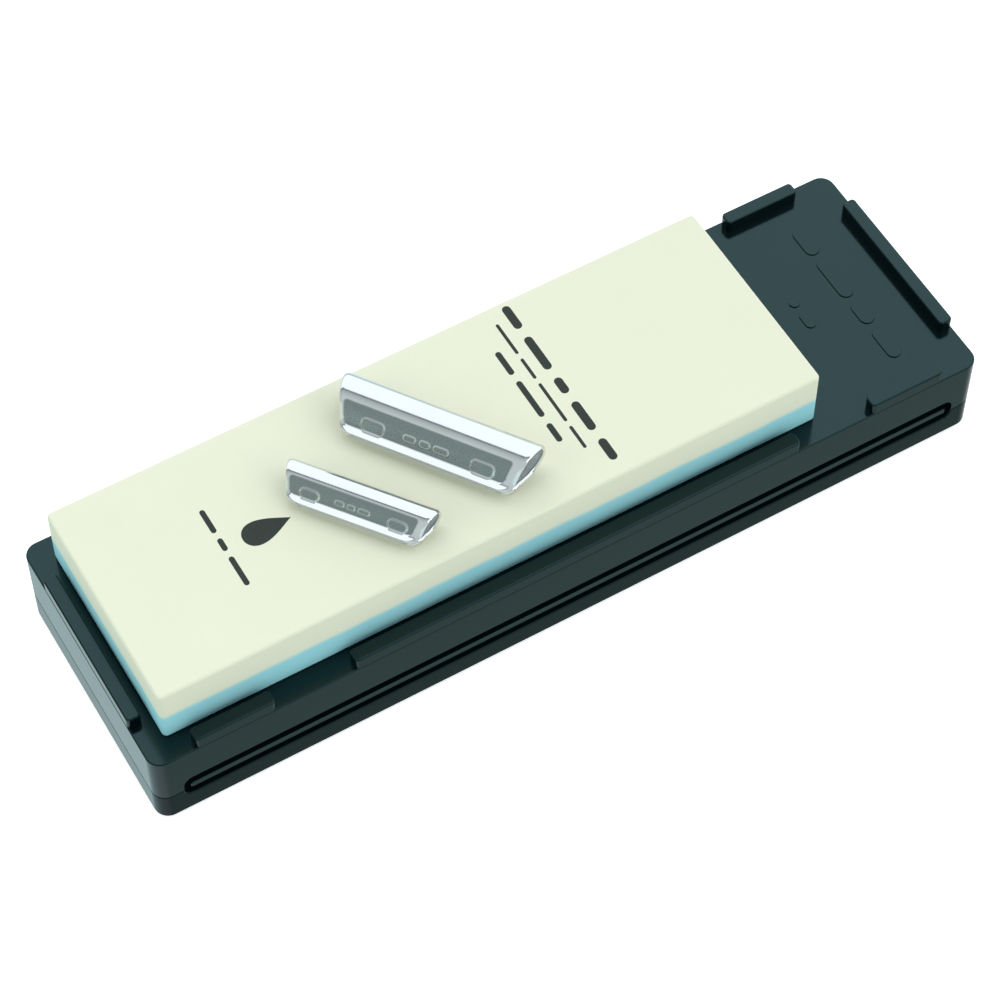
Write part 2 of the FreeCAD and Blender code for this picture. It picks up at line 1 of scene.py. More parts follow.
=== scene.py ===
"""Two-layer water whetstone on its storage case, with two folded-steel sharpening guides."""
import math

import bmesh
import bpy
from mathutils import Matrix, Vector


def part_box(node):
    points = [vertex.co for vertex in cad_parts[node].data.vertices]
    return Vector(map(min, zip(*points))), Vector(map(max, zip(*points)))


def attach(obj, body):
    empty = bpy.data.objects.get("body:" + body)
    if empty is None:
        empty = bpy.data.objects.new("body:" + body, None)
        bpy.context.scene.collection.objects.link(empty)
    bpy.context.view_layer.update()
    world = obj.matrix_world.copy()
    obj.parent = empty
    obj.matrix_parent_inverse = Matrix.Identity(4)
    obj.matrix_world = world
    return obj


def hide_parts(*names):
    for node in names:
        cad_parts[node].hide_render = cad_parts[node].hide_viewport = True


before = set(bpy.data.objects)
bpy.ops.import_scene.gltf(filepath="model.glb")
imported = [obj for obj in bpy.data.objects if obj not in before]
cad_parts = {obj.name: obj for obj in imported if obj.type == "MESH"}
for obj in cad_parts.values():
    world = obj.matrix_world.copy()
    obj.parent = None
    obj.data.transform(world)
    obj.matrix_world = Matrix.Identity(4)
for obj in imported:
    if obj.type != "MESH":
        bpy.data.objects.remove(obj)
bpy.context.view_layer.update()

MM = 0.001

# A colour Mix node has sockets of the same name for each data type, so its colour ones go by number
MIX_COLOUR_A, MIX_COLOUR_B, MIX_COLOUR_RESULT = 6, 7, 2


# ---------------------------------------------------------------- material helpers

def node_of(tree, kind, place=(0, 0), **settings):
    """A shader node with its plain settings, and its sockets set from a dict called inputs."""
    made = tree.nodes.new(kind)
    made.location = place
    inputs = settings.pop("inputs", {})
    for name, value in settings.items():
        setattr(made, name, value)
    for name, value in inputs.items():
        made.inputs[name].default_value = value
    return made


def join(tree, source, output, target, socket):
    """Link an output of one node to a socket of another."""
    tree.links.new(source.outputs[output], target.inputs[socket])


def blank_material(name):
    """A material that holds a shader joined to its output, and nothing else."""
    material = bpy.data.materials.new(name)
    material.use_nodes = True
    tree = material.node_tree
    tree.nodes.clear()
    shader = node_of(tree, "ShaderNodeBsdfPrincipled", (500, 0))
    output = node_of(tree, "ShaderNodeOutputMaterial", (800, 0))
    join(tree, shader, "BSDF", output, "Surface")
    return material, tree, shader


def blend_colours(tree, factor, low, high):
    """A mix of two colours by a factor socket; each colour is a tuple or a (node, output) pair."""
    mix = node_of(tree, "ShaderNodeMix", data_type="RGBA")
    join(tree, *factor, mix, "Factor")
    for socket, colour in ((MIX_COLOUR_A, low), (MIX_COLOUR_B, high)):
        if isinstance(colour[0], bpy.types.Node):
            join(tree, *colour, mix, socket)
        else:
            mix.inputs[socket].default_value = (*colour, 1.0)
    return mix, MIX_COLOUR_RESULT


def remap(tree, source, from_low, from_high, to_low, to_high):
    """Carry a value linearly from one range to another, and hold it at the ends."""
    mapping = node_of(tree, "ShaderNodeMapRange")
    mapping.inputs["From Min"].default_value = from_low
    mapping.inputs["From Max"].default_value = from_high
    mapping.inputs["To Min"].default_value = to_low
    mapping.inputs["To Max"].default_value = to_high
    join(tree, *source, mapping, "Value")
    return mapping, "Result"


def bump_from(tree, height, strength, distance, target):
    """Fine relief on a shader from a height."""
    bump = node_of(tree, "ShaderNodeBump")
    bump.inputs["Strength"].default_value = strength
    bump.inputs["Distance"].default_value = distance
    join(tree, *height, bump, "Height")
    join(tree, bump, "Normal", target, "Normal")


def new_group(name, inputs, outputs):
    """An empty node group with value inputs and outputs, and the piece's own coordinates ready."""
    group = bpy.data.node_groups.new(name, "ShaderNodeTree")
    for label, value in inputs.items():
        socket = group.interface.new_socket(label, in_out="INPUT", socket_type="NodeSocketFloat")
        socket.default_value = value
    for label in outputs:
        group.interface.new_socket(label, in_out="OUTPUT", socket_type="NodeSocketFloat")
    start = node_of(group, "NodeGroupInput", (-900, 0))
    end = node_of(group, "NodeGroupOutput", (900, 0))
    place = node_of(group, "ShaderNodeTexCoord", (-900, -300))
    return group, start, end, place


def noise_in(group, place, scale_source, detail, roughness, stretch=None):
    """A noise texture in the piece's own coordinates; stretch squeezes it along some axes."""
    noise = node_of(group, "ShaderNodeTexNoise", inputs={"Detail": detail, "Roughness": roughness})
    mapping = node_of(group, "ShaderNodeMapping")
    if stretch:
        mapping.inputs["Scale"].default_value = stretch
    join(group, place, "Object", mapping, "Vector")
    join(group, mapping, "Vector", noise, "Vector")
    if isinstance(scale_source, (int, float)):
        noise.inputs["Scale"].default_value = scale_source
    else:
        group.links.new(scale_source, noise.inputs["Scale"])
    return noise


def grain_group():
    """Mottling and grit of a fired abrasive: Tone drifts slowly, Grit is fine, Height is for bump."""
    group, start, end, place = new_group(
        "abrasive_grain", {"Grit Scale": 2500.0, "Tone Scale": 35.0}, ["Tone", "Grit", "Height"])
    tone = noise_in(group, place, start.outputs["Tone Scale"], 4.0, 0.6)
    grit = noise_in(group, place, start.outputs["Grit Scale"], 3.0, 0.65)
    pores = node_of(group, "ShaderNodeTexVoronoi", inputs={"Randomness": 1.0})
    join(group, place, "Object", pores, "Vector")
    join(group, start, "Grit Scale", pores, "Scale")
    pore_mask, result = remap(group, (pores, "Distance"), 0.0, 0.35, 0.0, 1.0)
    height = node_of(group, "ShaderNodeMath", operation="MULTIPLY")
    join(group, grit, "Fac", height, 0)
    join(group, pore_mask, result, height, 1)
    join(group, tone, "Fac", end, "Tone")
    join(group, grit, "Fac", end, "Grit")
    join(group, height, "Value", end, "Height")
    return group


def moulding_group():
    """Moulded plastic skin: slow tone drift, fine texture, and sparse scuffs."""
    group, start, end, place = new_group(
        "moulded_skin", {"Texture Scale": 900.0, "Scuff Scale": 60.0}, ["Tone", "Texture", "Scuff"])
    tone = noise_in(group, place, 14.0, 3.0, 0.5)
    texture = noise_in(group, place, start.outputs["Texture Scale"], 2.0, 0.5)
    scuff = noise_in(group, place, start.outputs["Scuff Scale"], 6.0, 0.75, (1.0, 3.2, 2.0))
    scuff_mask, result = remap(group, (scuff, "Fac"), 0.62, 0.78, 0.0, 1.0)
    join(group, tone, "Fac", end, "Tone")
    join(group, texture, "Fac", end, "Texture")
    join(group, scuff_mask, result, end, "Scuff")
    return group


GRAIN = grain_group()
SKIN = moulding_group()


def use_group(tree, group, **inputs):
    """Place a group in a material with values of its own; an underscore stands for a space."""
    made = node_of(tree, "ShaderNodeGroup", (-600, 0), node_tree=group)
    for name, value in inputs.items():
        made.inputs[name.replace("_", " ")].default_value = value
    return made


# ---------------------------------------------------------------- materials

CREAM_TOP = (0.91, 0.895, 0.715)
CREAM_DEEP = (0.875, 0.86, 0.675)
BLUE_LIGHT = (0.41, 0.80, 0.87)
BLUE_DEEP = (0.34, 0.74, 0.82)
BLEND_INTO_BLUE = 0.9 * MM
BLEND_INTO_CREAM = 0.3 * MM
BOND_WOBBLE = 0.5 * MM


def stone_material(name):
    """Fine cream abrasive over coarse blue, drifting into each other through the bond zone."""
    material, tree, shader = blank_material(name)
    grain = use_group(tree, GRAIN, Grit_Scale=2600.0, Tone_Scale=30.0)
    cream = blend_colours(tree, (grain, "Tone"), CREAM_DEEP, CREAM_TOP)
    blue = blend_colours(tree, (grain, "Tone"), BLUE_DEEP, BLUE_LIGHT)
    place = node_of(tree, "ShaderNodeTexCoord")
    split = node_of(tree, "ShaderNodeSeparateXYZ")
    join(tree, place, "Object", split, "Vector")
    wobble = remap(tree, (grain, "Tone"), 0.3, 0.7, -BOND_WOBBLE, BOND_WOBBLE)
    height = node_of(tree, "ShaderNodeMath", operation="ADD")
    join(tree, split, "Z", height, 0)
    join(tree, *wobble, height, 1)
    bond_low, bond_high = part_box("stone_bond_line")
    blue_top, cream_foot = bond_low.z - BLEND_INTO_BLUE, bond_high.z + BLEND_INTO_CREAM
    layer = remap(tree, (height, "Value"), blue_top, cream_foot, 0.0, 1.0)
    layer[0].interpolation_type = "SMOOTHSTEP"
    colour = blend_colours(tree, layer, blue, cream)
    speck = remap(tree, (grain, "Grit"), 0.5, 0.8, 0.0, 0.12)
    speckled = blend_colours(tree, speck, colour, (0.55, 0.62, 0.52))
    join(tree, *speckled, shader, "Base Color")
    rough = remap(tree, (grain, "Grit"), 0.3, 0.7, 0.78, 0.92)
    join(tree, *rough, shader, "Roughness")
    shader.inputs["Specular IOR Level"].default_value = 0.3
    bump_from(tree, (grain, "Height"), 0.25, 0.05 * MM, shader)
    return material


LID_GLOSS = 0.34
# The tray's weaker sheen is painted shade. The lower walls are the same plastic as the lid, and reflect
# less to stand in for the shadowed floor close to the case.
TRAY_GLOSS_SHADED = 0.12
CASE_SHEEN_TINT = (0.52, 0.95, 1.0, 1.0)


def case_material(name, gloss):
    """Dark green-black moulded plastic with a soft gloss and light scuffs."""
    material, tree, shader = blank_material(name)
    skin = use_group(tree, SKIN, Texture_Scale=1400.0, Scuff_Scale=45.0)
    base = blend_colours(tree, (skin, "Tone"), (0.001, 0.005, 0.006), (0.002, 0.007, 0.008))
    worn = remap(tree, (skin, "Scuff"), 0.0, 1.0, 0.0, 0.12)
    scuffed = blend_colours(tree, worn, base, (0.03, 0.055, 0.058))
    join(tree, *scuffed, shader, "Base Color")
    rough = remap(tree, (skin, "Scuff"), 0.0, 1.0, 0.15, 0.26)
    join(tree, *rough, shader, "Roughness")
    shader.inputs["Specular IOR Level"].default_value = gloss
    shader.inputs["Specular Tint"].default_value = CASE_SHEEN_TINT
    bump_from(tree, (skin, "Texture"), 0.08, 0.03 * MM, shader)
    return material


def rubber_material():
    """Matt moulded rubber of the feet."""
    material, tree, shader = blank_material("foot_rubber")
    skin = use_group(tree, SKIN, Texture_Scale=2200.0, Scuff_Scale=120.0)
    base = blend_colours(tree, (skin, "Tone"), (0.018, 0.018, 0.018), (0.030, 0.030, 0.029))
    join(tree, *base, shader, "Base Color")
    rough = remap(tree, (skin, "Texture"), 0.3, 0.7, 0.72, 0.9)
    join(tree, *rough, shader, "Roughness")
    bump_from(tree, (skin, "Texture"), 0.3, 0.08 * MM, shader)
    return material


ROLLING_TURN = 54.0
PRESSED = "pressed"
PRESSED_ROUGHNESS = 0.14


def steel_group():
    """Fine lines of rolled sheet along the guide, with sparse handling scratches."""
    group, start, end, place = new_group(
        "rolled_steel", {"Line Scale": 1800.0}, ["Lines", "Scratch", "Tone"])
    turn = node_of(group, "ShaderNodeMapping", vector_type="POINT")
    turn.inputs["Rotation"].default_value = (0, 0, math.radians(ROLLING_TURN))
    turn.inputs["Scale"].default_value = (0.02, 1.0, 1.0)
    join(group, place, "Object", turn, "Vector")
    lines = node_of(group, "ShaderNodeTexNoise", inputs={"Detail": 3.0, "Roughness": 0.6})
    join(group, turn, "Vector", lines, "Vector")
    join(group, start, "Line Scale", lines, "Scale")
    scratch = noise_in(group, place, 350.0, 5.0, 0.8, (0.25, 1.0, 1.0))
    scratch_mask, result = remap(group, (scratch, "Fac"), 0.66, 0.76, 0.0, 1.0)
    tone = noise_in(group, place, 90.0, 2.0, 0.5)
    join(group, lines, "Fac", end, "Lines")
    join(group, scratch_mask, result, end, "Scratch")
    join(group, tone, "Fac", end, "Tone")
    return group


STEEL = steel_group()


def steel_material():
    """Bright rolled spring steel, darker and rougher where the press has sunk a panel."""
    material, tree, shader = blank_material("guide_steel")
    steel = use_group(tree, STEEL, Line_Scale=1500.0)
    bright = blend_colours(tree, (steel, "Tone"), (0.74, 0.76, 0.77), (0.82, 0.84, 0.85))
    dull = blend_colours(tree, (steel, "Lines"), (0.24, 0.29, 0.28), (0.31, 0.36, 0.35))
    pressed = node_of(tree, "ShaderNodeAttribute", attribute_name=PRESSED)
    base = blend_colours(tree, (pressed, "Fac"), bright, dull)
    scratched = remap(tree, (steel, "Scratch"), 0.0, 1.0, 0.0, 0.3)
    worn = blend_colours(tree, scratched, base, (0.80, 0.82, 0.82))
    join(tree, *worn, shader, "Base Color")
    shader.inputs["Metallic"].default_value = 1.0
    lined = remap(tree, (steel, "Lines"), 0.3, 0.7, 0.10, 0.17)
    frosted = node_of(tree, "ShaderNodeMath", operation="MULTIPLY_ADD")
    frosted.inputs[1].default_value = PRESSED_ROUGHNESS
    join(tree, pressed, "Fac", frosted, 0)
    join(tree, *lined, frosted, 2)
    join(tree, frosted, "Value", shader, "Roughness")
    bump_from(tree, (steel, "Lines"), 0.05, 0.02 * MM, shader)
    return material


def satin_steel_material():
    """The unpolished inner face of the folded sheet."""
    material, tree, shader = blank_material("guide_steel_inside")
    steel = use_group(tree, STEEL, Line_Scale=900.0)
    base = blend_colours(tree, (steel, "Lines"), (0.60, 0.63, 0.64), (0.74, 0.77, 0.78))
    join(tree, *base, shader, "Base Color")
    shader.inputs["Metallic"].default_value = 0.35
    rough = remap(tree, (steel, "Lines"), 0.3, 0.7, 0.32, 0.46)
    join(tree, *rough, shader, "Roughness")
    bump_from(tree, (steel, "Lines"), 0.08, 0.02 * MM, shader)
    return material


def ink_material():
    """Printed dark ink that has sunk a little into the abrasive."""
    material, tree, shader = blank_material("printed_ink")
    grain = use_group(tree, GRAIN, Grit_Scale=3200.0, Tone_Scale=120.0)
    sunk = remap(tree, (grain, "Grit"), 0.45, 0.8, 0.0, 0.3)
    base = blend_colours(tree, sunk, (0.022, 0.030, 0.026), (0.13, 0.15, 0.12))
    join(tree, *base, shader, "Base Color")
    rough = remap(tree, (grain, "Grit"), 0.3, 0.7, 0.7, 0.9)
    join(tree, *rough, shader, "Roughness")
    bump_from(tree, (grain, "Height"), 0.2, 0.04 * MM, shader)
    return material


# ---------------------------------------------------------------- the folded-steel guides

def piece_from(mesh, name, material):
    """A scene object made from a finished bmesh, in one material."""
    data = bpy.data.meshes.new(name)
    mesh.to_mesh(data)
    mesh.free()
    piece = bpy.data.objects.new(name, data)
    bpy.context.scene.collection.objects.link(piece)
    piece.data.materials.append(material)
    return piece


class Guide:
    """Sizes of one folded guide, in millimetres and degrees.

    Depths run from the mouth to the spine, and half gaps from the middle plane to the outer face.
    A rise is measured along the flank from its waist, and an inset from the end of the sheet.
    """

    def __init__(self, *, node, body, mouth_length, end_slope, spine_radius, spine_depth,
                 lip_depth, lip_half_gap, waist_half_gap, sheet, yaw,
                 panel_rise, panel_insets, dimple_spacing, dimple_length, dimple_rise):
        self.node, self.body = node, body
        self.mouth_length, self.end_slope = mouth_length, end_slope
        self.spine_radius, self.spine_depth = spine_radius, spine_depth
        self.lip_depth, self.lip_half_gap = lip_depth, lip_half_gap
        self.waist_half_gap = waist_half_gap
        self.sheet, self.yaw = sheet, yaw
        self.panel_rise, self.panel_insets = panel_rise, panel_insets
        self.dimple_spacing, self.dimple_length = dimple_spacing, dimple_length
        self.dimple_rise = dimple_rise


GUIDES = [
    Guide(node="large_guide", body="large_clip", mouth_length=52.5, end_slope=14.2, spine_radius=6.2,
          spine_depth=10.2, lip_depth=2.4, lip_half_gap=2.3, waist_half_gap=1.8, sheet=0.8, yaw=-54.9,
          panel_rise=(-0.5, 7.0), panel_insets=(1.5, 3.2),
          dimple_spacing=33.5, dimple_length=7.0, dimple_rise=(-0.4, 3.6)),
    Guide(node="small_guide", body="small_clip", mouth_length=39.8, end_slope=13.4, spine_radius=4.4,
          spine_depth=7.3, lip_depth=2.1, lip_half_gap=2.0, waist_half_gap=1.5, sheet=0.7, yaw=-53.2,
          panel_rise=(-0.4, 5.1), panel_insets=(1.3, 2.6),
          dimple_spacing=26.4, dimple_length=5.8, dimple_rise=(-0.4, 2.6)),
]

LIP_CORNER = 4.0
SECTION_STEP = 0.25
LIP_STEPS = 8
WAIST_STEPS = 6
WAIST_SOFTENING = 0.9
COLUMN_WIDTH = 0.3
SHEET_EDGE_ROUNDING = 0.12 * MM

END_ROLL = 1.3
ROLL_RADIUS = 1.8
ROLL_STEPS = 6

PANEL_SINK, PANEL_CORNER, PANEL_SOFTNESS = 0.25, 1.3, 0.2
DIMPLE_LIFT, DIMPLE_CORNER, DIMPLE_SOFTNESS = 0.5, 1.5, 0.4
BAR_LIFT, BAR_HALF_WIDTH, BAR_CORNER, BAR_SOFTNESS = 0.25, 0.95, 0.7, 0.3
BAR_ABOVE_DIMPLES = 0.5
# Where each small bar lies along the large guide, and its length; the small guide's are scaled down.
PRESSED_BARS = ((-5.6, 3.6), (-1.0, 3.0), (4.0, 4.4))


def guide_section(guide):
    """Outer outline of the folded sheet from the upper lip round the spine to the lower lip.

    Each point is (depth from mouth, height off the middle plane, distance from the nearer lip tip).
    """
    radius, centre = guide.spine_radius, guide.spine_depth
    waist = Vector((guide.lip_depth, guide.waist_half_gap))
    tip = Vector((0.0, guide.lip_half_gap))
    reach = centre - guide.lip_depth
    to_centre = math.hypot(reach, guide.waist_half_gap)
    flank = math.asin(radius / to_centre) - math.atan2(guide.waist_half_gap, reach)
    tangent = Vector((centre - radius * math.sin(flank), radius * math.cos(flank)))
    before = waist + (tip - waist).normalized() * WAIST_SOFTENING
    after = waist + (tangent - waist).normalized() * WAIST_SOFTENING
    path = []

    def run(start, stop, count):
        for number in range(count):
            path.append(start.lerp(stop, number / count))

    run(tip, before, LIP_STEPS)
    for number in range(WAIST_STEPS):
        t = number / WAIST_STEPS
        path.append(before * (1 - t) ** 2 + waist * 2 * t * (1 - t) + after * t ** 2)
    run(after, tangent, int((tangent - after).length / SECTION_STEP))
    sweep = math.pi / 2 + flank
    count = int(sweep * radius / SECTION_STEP)
    for number in range(count + 1):
        angle = sweep * (1 - number / count)
        path.append(Vector((centre + radius * math.cos(angle), radius * math.sin(angle))))
    distance = 0.0
    half = [(path[0].x, path[0].y, 0.0)]
    for a, b in zip(path[:-1], path[1:]):
        distance += (b - a).length
        half.append((b.x, b.y, distance))
    return half + [(depth, -height, distance) for depth, height, distance in reversed(half[:-1])]


def half_length(guide, depth):
    """Half the guide's length at a depth from its mouth, with the lip corner rounded off."""
    slope = math.radians(guide.end_slope)
    flat = LIP_CORNER * math.tan(math.pi / 4 - slope / 2)
    plain = guide.mouth_length / 2 + math.tan(slope) * depth
    if depth >= LIP_CORNER:
        return plain
    centre = guide.mouth_length / 2 - flat
    arc = centre + math.sqrt(max(LIP_CORNER ** 2 - (LIP_CORNER - depth) ** 2, 0.0))
    return min(plain, arc)


def soft_step(value, width):
    """0 below zero, 1 above width, smooth between."""
    t = min(max(value / width, 0.0), 1.0)
    return t * t * (3 - 2 * t)


def rounded_box(x, y, half_x, half_y, radius):
    """Signed distance to a rounded rectangle, negative inside."""
    dx, dy = abs(x) - (half_x - radius), abs(y) - (half_y - radius)
    outside = math.hypot(max(dx, 0.0), max(dy, 0.0))
    return outside + min(max(dx, dy), 0.0) - radius


def inside(distance, soft):
    """1 inside an outline and 0 outside it, from the signed distance to it."""
    return 1 - soft_step(distance + soft, 2 * soft)


def pressed_relief(guide, x, rise, half):
    """Outward shift and dullness of the flank at x along the guide and rise past its waist."""
    low, high = guide.panel_rise
    left, right = guide.panel_insets
    tall = (high - low) / 2
    panel_edge = rounded_box(
        x - (left - right) / 2, rise - low - tall, half - (left + right) / 2, tall, PANEL_CORNER)
    panel = inside(panel_edge, PANEL_SOFTNESS)
    low, high = guide.dimple_rise
    middle, tall = (low + high) / 2, (high - low) / 2
    away = abs(x) - guide.dimple_spacing / 2
    dimple_edge = rounded_box(away, rise - middle, guide.dimple_length / 2, tall, DIMPLE_CORNER)
    dimple = inside(dimple_edge, DIMPLE_SOFTNESS)
    scale = guide.mouth_length / GUIDES[0].mouth_length
    across = (rise - middle) / scale - BAR_ABOVE_DIMPLES
    bar = 0.0
    for spot, length in PRESSED_BARS:
        bar_edge = rounded_box(x / scale - spot, across, length / 2, BAR_HALF_WIDTH, BAR_CORNER)
        bar = max(bar, inside(bar_edge, BAR_SOFTNESS))
    steepness = 4 * (dimple * (1 - dimple) + bar * (1 - bar))
    shift = DIMPLE_LIFT * dimple + BAR_LIFT * bar - PANEL_SINK * panel
    return shift, panel * max(0.0, 1 - steepness)


def end_offsets():
    """Steps from one end of a guide inwards, close together over the rolled end."""
    return [END_ROLL * number / ROLL_STEPS for number in range(ROLL_STEPS + 1)]


def rolled_in(inset):
    """How far the sheet has curled inwards at a distance from its end."""
    along = max(END_ROLL - inset, 0.0)
    return ROLL_RADIUS - math.sqrt(ROLL_RADIUS ** 2 - along ** 2)


def column_places(guide, half):
    """Places along the guide for one row of its sheet, close together at both rolled ends."""
    plain = half - END_ROLL
    count = 2 * int(guide.mouth_length / (2 * COLUMN_WIDTH))
    places = [-half + inset for inset in end_offsets()[:-1]]
    places += [(2 * step / count - 1) * plain for step in range(count + 1)]
    return places + [half - inset for inset in reversed(end_offsets()[:-1])]


def guide_sheet(guide):
    """Outer face of the folded sheet: a fine grid bent round the section, its flanks pressed."""
    section = guide_section(guide)
    waist_run = next(run for depth, height, run in section if depth >= guide.lip_depth)
    mesh = bmesh.new()
    pressed = mesh.verts.layers.float.new(PRESSED)
    rows = []
    for index, (depth, height, run) in enumerate(section):
        half = half_length(guide, depth)
        before, after = section[max(index - 1, 0)], section[min(index + 1, len(section) - 1)]
        along = Vector((after[0] - before[0], after[1] - before[1])).normalized()
        outward = Vector((-along.y, along.x))
        row = []
        for x in column_places(guide, half):
            shift, dull = pressed_relief(guide, x, run - waist_run, half)
            shift -= rolled_in(half - abs(x))
            place = Vector((depth, height)) + outward * shift
            vert = mesh.verts.new((x * MM, place.x * MM, place.y * MM))
            vert[pressed] = dull
            row.append(vert)
        rows.append(row)
    for low_row, high_row in zip(rows[:-1], rows[1:]):
        for column in range(len(low_row) - 1):
            mesh.faces.new((low_row[column], high_row[column], high_row[column + 1], low_row[column + 1]))
    bmesh.ops.recalc_face_normals(mesh, faces=mesh.faces)
    return mesh


def box_of(data):
    """Lowest and highest corner of a mesh."""
    points = [vertex.co for vertex in data.vertices]
    low = Vector([min(point[axis] for point in points) for axis in range(3)])
    high = Vector([max(point[axis] for point in points) for axis in range(3)])
    return low, high


def lay_in_place(data, guide):
    """Turn the sheet as the guide lies, on one lip and its spine, and move it over the CAD guide."""
    lean = math.asin(guide.spine_radius / math.hypot(guide.spine_depth, guide.lip_half_gap))
    lean -= math.atan2(guide.lip_half_gap, guide.spine_depth)
    data.transform(Matrix.Rotation(math.radians(guide.yaw), 4, "Z") @ Matrix.Rotation(lean, 4, "X"))
    low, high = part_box(guide.node)
    sheet_low, sheet_high = box_of(data)
    offset = (low + high) / 2 - (sheet_low + sheet_high) / 2
    offset.z = low.z - sheet_low.z
    data.transform(Matrix.Translation(offset))


SHARP_EDGE = 50.0


def round_edges(piece, width, segments):
    """Round the sharp edges of a piece."""
    edge = piece.modifiers.new("edge", "BEVEL")
    edge.width = width
    edge.segments = segments
    edge.limit_method = "ANGLE"
    edge.angle_limit = math.radians(SHARP_EDGE)


def build_guide(guide, material, inner_material):
    """The whole guide: its folded sheet given a thickness, an inner face and soft edges."""
    name = guide.node + "_sheet"
    piece = piece_from(guide_sheet(guide), name, material)
    piece.data.materials.append(inner_material)
    for polygon in piece.data.polygons:
        polygon.use_smooth = True
    lay_in_place(piece.data, guide)
    thick = piece.modifiers.new("sheet", "SOLIDIFY")
    thick.thickness = guide.sheet * MM
    thick.offset = -1.0
    thick.use_even_offset = True
    thick.material_offset = 1
    round_edges(piece, SHEET_EDGE_ROUNDING, segments=2)
    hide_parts(guide.node)
    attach(piece, guide.body)


# ---------------------------------------------------------------- printed and moulded marks

INK_THICKNESS = 0.02 * MM
INK_CLEARANCE = 0.004 * MM
MOULDED_HEIGHT = 0.35 * MM
MOULDED_ROUNDING = 0.3 * MM
DROP_TAPER = 1.4
DROP_FATNESS = 0.75


def flat_shape(name, outlines, height, material, body, thickness):
    """Thin raised flat shapes from closed outlines seen from above, as one piece."""
    mesh = bmesh.new()
    for outline in outlines:
        mesh.faces.new([mesh.verts.new((x, y, height)) for x, y in outline])
    bmesh.ops.recalc_face_normals(mesh, faces=mesh.faces)
    raised = bmesh.ops.extrude_face_region(mesh, geom=list(mesh.faces))
    lifted = [item for item in raised["geom"] if isinstance(item, bmesh.types.BMVert)]
    bmesh.ops.translate(mesh, verts=lifted, vec=(0, 0, thickness))
    bmesh.ops.recalc_face_normals(mesh, faces=mesh.faces)
    piece = piece_from(mesh, name, material)
    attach(piece, body)
    return piece


def dash(centre, direction, length, width):
    """Outline of a round-ended dash."""
    ahead = Vector(direction).normalized()
    across = Vector((-ahead.y, ahead.x))
    outline = []
    steps = 8
    for end in (1, -1):
        middle = Vector(centre) + ahead * end * (length - width) / 2
        for number in range(steps + 1):
            angle = -math.pi / 2 + math.pi * number / steps
            spoke = ahead * end * math.cos(angle) + across * end * math.sin(angle)
            outline.append(tuple(middle + spoke * width / 2))
    return outline


def water_drop(centre, direction, size):
    """Outline of a plain drop whose point faces along direction."""
    ahead = Vector(direction).normalized()
    across = Vector((-ahead.y, ahead.x))
    outline = []
    steps = 40
    for number in range(steps):
        angle = 2 * math.pi * number / steps
        along = math.cos(angle)
        side = math.sin(angle) * math.sin(angle / 2) ** DROP_TAPER
        outline.append(tuple(Vector(centre) + (ahead * along + across * side * DROP_FATNESS) * size / 2))
    return outline


def dash_row(x, y, width, gap, lengths):
    """Outlines of a row of dashes across the stone, centred on y; every size is in metres."""
    outlines = []
    cursor = y + (sum(lengths) + gap * (len(lengths) - 1)) / 2
    for length in lengths:
        cursor -= length / 2
        outlines.append(dash((x, cursor), (0, -1), length, width))
        cursor -= length / 2 + gap
    return outlines


# Each row of dashes: how far right and how far back of the stone's middle, width, and lengths, in
# millimetres.
PANEL_ROWS = (
    (40.0, 1.7, 2.6, (9.0, 13.0, 6.0, 11.0, 8.0)),
    (34.9, 3.2, 1.0, (12.0, 8.0, 15.0, 8.5)),
    (30.0, 1.6, 1.8, (9.0, 14.0, 7.0)),
)
PANEL_SPACING = 1.0
DROP_PLACE = (-54.5, -0.6)
DROP_SIZE = 15.0
# The line of dashes below the drop: how far back each one is, and its length.
DROP_LINE_X = -67.5
DROP_LINE_WIDTH = 1.6
DROP_LINE = ((9.5, 8.5), (0.8, 4.5), (-9.0, 10.5))


def printed_marks(ink):
    """A generic maker's panel of plain dashes, and a plain drop with a line of dashes under it."""
    low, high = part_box("fine_stone_layer")
    middle = (low + high) / 2
    top = high.z + INK_CLEARANCE
    panel = []
    for right, back, width, lengths in PANEL_ROWS:
        spacing = (width + PANEL_SPACING) * MM
        panel += dash_row(middle.x + right * MM, middle.y + back * MM, width * MM, spacing,
                          [length * MM for length in lengths])
    flat_shape("printed_panel", panel, top, ink, "whetstone", INK_THICKNESS)
    right, back = DROP_PLACE
    drop = [water_drop((middle.x + right * MM, middle.y + back * MM), (1, 0), DROP_SIZE * MM)]
    for back, length in DROP_LINE:
        spot = (middle.x + DROP_LINE_X * MM, middle.y + back * MM)
        drop.append(dash(spot, (0, -1), length * MM, DROP_LINE_WIDTH * MM))
    flat_shape("printed_drop", drop, top, ink, "whetstone", INK_THICKNESS)


# Each row of raised dashes: how far right of the stone's end, width, and lengths, in millimetres.
MOULDED_ROWS = ((17.5, 3.4, (3.4, 6.5)), (33.0, 4.6, (11.0, 16.0, 9.0, 12.0)))
MOULDED_SPACING = 2.2 * MM


def plate_marks(plastic):
    """Plain raised dashes moulded into the free end of the lid's plate."""
    stone_low, stone_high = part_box("coarse_stone_layer")
    case_low, case_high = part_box("upper_case_shell")
    middle = (case_low.y + case_high.y) / 2
    outlines = []
    for right, width, lengths in MOULDED_ROWS:
        outlines += dash_row(stone_high.x + right * MM, middle, width * MM, MOULDED_SPACING,
                             [length * MM for length in lengths])
    raised = flat_shape(
        "moulded_dashes", outlines, stone_low.z, plastic, "case_lid", MOULDED_HEIGHT)
    round_edges(raised, MOULDED_ROUNDING, segments=3)
    return raised


# ---------------------------------------------------------------- stage, light and camera

FLOOR_HALF_SIZE = 6.0
SET_MIDDLE = (0, 0, 0.03)


